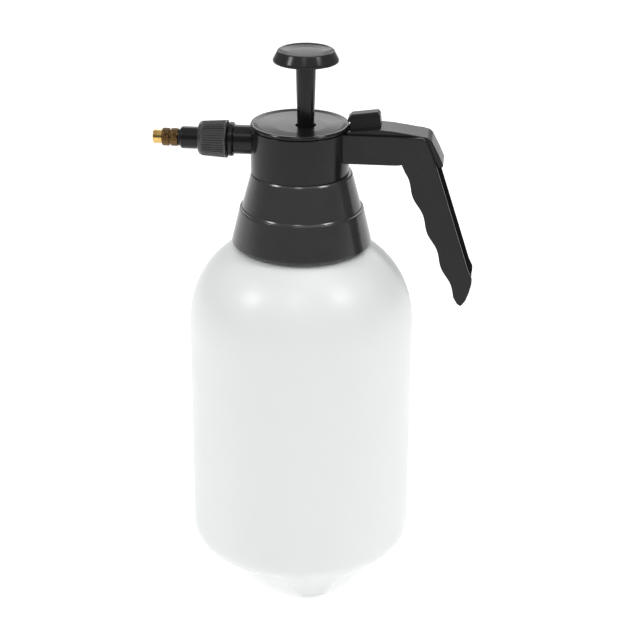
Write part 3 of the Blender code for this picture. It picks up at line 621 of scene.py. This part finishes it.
profile = rounded([(0.5, -79.1), (3.1, -79.1, 0.35), (3.65, -78.6, 0.35), (3.65, -74.2), (4.35, -74.2, 0.3),
                   (4.75, -73.75, 0.3)])
profile += [(4.75, x) for x in (-73.6, -73.3, -72.6, -71.6, -70.8, -70.35)]
profile += [(4.75, -70.25), (3.95, -70.15), (3.95, -69.4), (4.75, -69.25)]
profile += [(4.75, x) for x in (-69.1, -68.2, -67.4, -66.6, -66.3, -66.0)]
profile += rounded([(4.75, -65.9), (4.55, -65.6, 0.2), (3.8, -65.6), (3.8, -72.6), (1.9, -72.6), (1.9, -77.3), (0.5, -77.6)])
show(to_object(lathe(profile, KNURL * 8, (0.0, NOZZLE_Z), "X", True, knurled), "brass_tip"), "nozzle_cap",
     [BRASS, BRASS_DULL], "nozzle_cap", 40.0, False,
     lambda c: 1 if c.x > -74.3 and math.hypot(c.y, c.z - NOZZLE_Z) > 3.9 else 0)

ring = [(4.02 + 0.42 * math.cos(math.tau * k / 16), -64.9 + 0.42 * math.sin(math.tau * k / 16)) for k in range(16)]
show(to_object(lathe(ring, 64, (0.0, NOZZLE_Z), "X"), "nozzle_seal"), "nozzle_ring", [RUBBER],
     "nozzle_ring")

# =============================================================================
# carried-over CAD nodes: the parts inside the head and bottle
# =============================================================================
INNER_MATERIALS = {
    "neck_gasket": RUBBER, "pump_barrel": WHITE, "check_valve": RUBBER, "piston": WHITE, "piston_ring": RUBBER,
    "valve_body": WHITE, "valve_gland_ring": RUBBER, "valve_pin": STEEL, "valve_seal": RUBBER,
    "valve_spring": STEEL, "outlet_hose": HOSE, "dip_tube": HOSE, "intake_strainer": WHITE,
    "nozzle_washer": RUBBER, "swirl_core": WHITE,
}
for name, mat in INNER_MATERIALS.items():
    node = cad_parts[name]
    node.data.materials.clear()
    node.data.materials.append(mat)

# =============================================================================
# floor, light, camera
# =============================================================================
bm = bmesh.new()
bmesh.ops.create_grid(bm, x_segments=8, y_segments=8, size=6.0)
for vert in bm.verts:
    vert.co.z = -0.0004
mesh = bpy.data.meshes.new("floor")
bm.to_mesh(mesh)
bm.free()
floor = bpy.data.objects.new("floor", mesh)
bpy.context.scene.collection.objects.link(floor)
mat, tree, shader = new_material("pale_floor")
tree.links.new(ramp(tree, noise(tree, 3.0, 2.0), (0.925, 0.925, 0.925), (0.945, 0.945, 0.945)).outputs["Color"],
               shader.inputs["Base Color"])
shader.inputs["Roughness"].default_value = 0.9
shader.inputs["Specular IOR Level"].default_value = 0.1
shader.inputs["Emission Color"].default_value = (1.0, 1.0, 1.0, 1.0)
shader.inputs["Emission Strength"].default_value = 0.38
mesh.materials.append(mat)

world = bpy.data.worlds.new("studio")
bpy.context.scene.world = world
world.use_nodes = True
tree = world.node_tree
back = tree.nodes["Background"]
coord = tree.nodes.new("ShaderNodeTexCoord")
split = tree.nodes.new("ShaderNodeSeparateXYZ")
tree.links.new(coord.outputs["Generated"], split.inputs["Vector"])


def band(axis, edges, values):
    node = tree.nodes.new("ShaderNodeMapRange")
    node.interpolation_type = "SMOOTHSTEP"
    node.inputs["From Min"].default_value, node.inputs["From Max"].default_value = edges
    node.inputs["To Min"].default_value, node.inputs["To Max"].default_value = values
    tree.links.new(split.outputs[axis], node.inputs["Value"])
    return node.outputs["Result"]


def maths(operation, one, two):
    node = tree.nodes.new("ShaderNodeMath")
    node.operation = operation
    for socket, value in zip(node.inputs, (one, two)):
        if isinstance(value, float):
            socket.default_value = value
        else:
            tree.links.new(value, socket)
    return node.outputs["Value"]


# a pale room with one bright screen low behind the object
screen = maths("MULTIPLY", band("Y", (0.66, 0.84), (0.0, 1.0)), band("Z", (0.20, 0.36), (0.0, 1.0)))
screen = maths("MULTIPLY", screen, band("Z", (0.55, 0.80), (1.0, 0.0)))
front = maths("MULTIPLY", band("Y", (-0.30, 0.25), (1.0, 0.0)), band("Z", (0.45, 0.75), (1.0, 0.0)))
level = maths("ADD", maths("MULTIPLY", screen, 2.4), band("Z", (0.35, 0.85), (0.40, 0.64)))
level = maths("ADD", level, maths("MULTIPLY", front, -0.22))
tree.links.new(level, back.inputs["Color"])
back.inputs["Strength"].default_value = 1.0


def softbox(name, azimuth, elevation, distance, size, power):
    """A rectangular lamp that faces the pump head."""
    light = bpy.data.lights.new(name, "AREA")
    light.shape = "RECTANGLE"
    light.size, light.size_y = size
    light.energy = power
    lamp = bpy.data.objects.new(name, light)
    bpy.context.scene.collection.objects.link(lamp)
    a, e = math.radians(azimuth), math.radians(elevation)
    away = Vector((math.sin(a) * math.cos(e), -math.cos(a) * math.cos(e), math.sin(e)))
    lamp.location = Vector((0.0, 0.0, 0.2)) + away * distance
    lamp.rotation_euler = away.to_track_quat("Z", "Y").to_euler()
    return lamp


softbox("soft_left", -62.0, 38.0, 1.6, (0.26, 0.36), 7.0)
softbox("soft_right", 65.0, 46.0, 1.6, (0.36, 0.34), 7.5)
softbox("soft_top", 70.0, 76.0, 1.5, (0.80, 0.80), 4.5)
softbox("soft_front", -3.0, 53.0, 1.8, (0.30, 0.50), 3.5)

camera = bpy.data.cameras.new("camera")
camera.lens = 98.696
camera.sensor_width = 36.0
camera.clip_start, camera.clip_end = 0.05, 30.0
eye = bpy.data.objects.new("camera", camera)
bpy.context.scene.collection.objects.link(eye)
az, el, roll = math.radians(5.46), math.radians(23.551), math.radians(0.421)
behind = Vector((math.sin(az) * math.cos(el), -math.cos(az) * math.cos(el), math.sin(el)))
right = Vector((math.cos(az), math.sin(az), 0.0))
up = behind.cross(right)
side = right * math.cos(roll) + up * math.sin(roll)
tall = -right * math.sin(roll) + up * math.cos(roll)
target = Vector((10.23 * math.cos(az) + ROOT_X, 10.23 * math.sin(az), 149.77)) * MM
place = target + behind * 0.96406
eye.matrix_world = Matrix(((side.x, tall.x, behind.x, place.x), (side.y, tall.y, behind.y, place.y),
                           (side.z, tall.z, behind.z, place.z), (0.0, 0.0, 0.0, 1.0)))
bpy.context.scene.camera = eye
bpy.context.scene.view_settings.view_transform = "Standard"
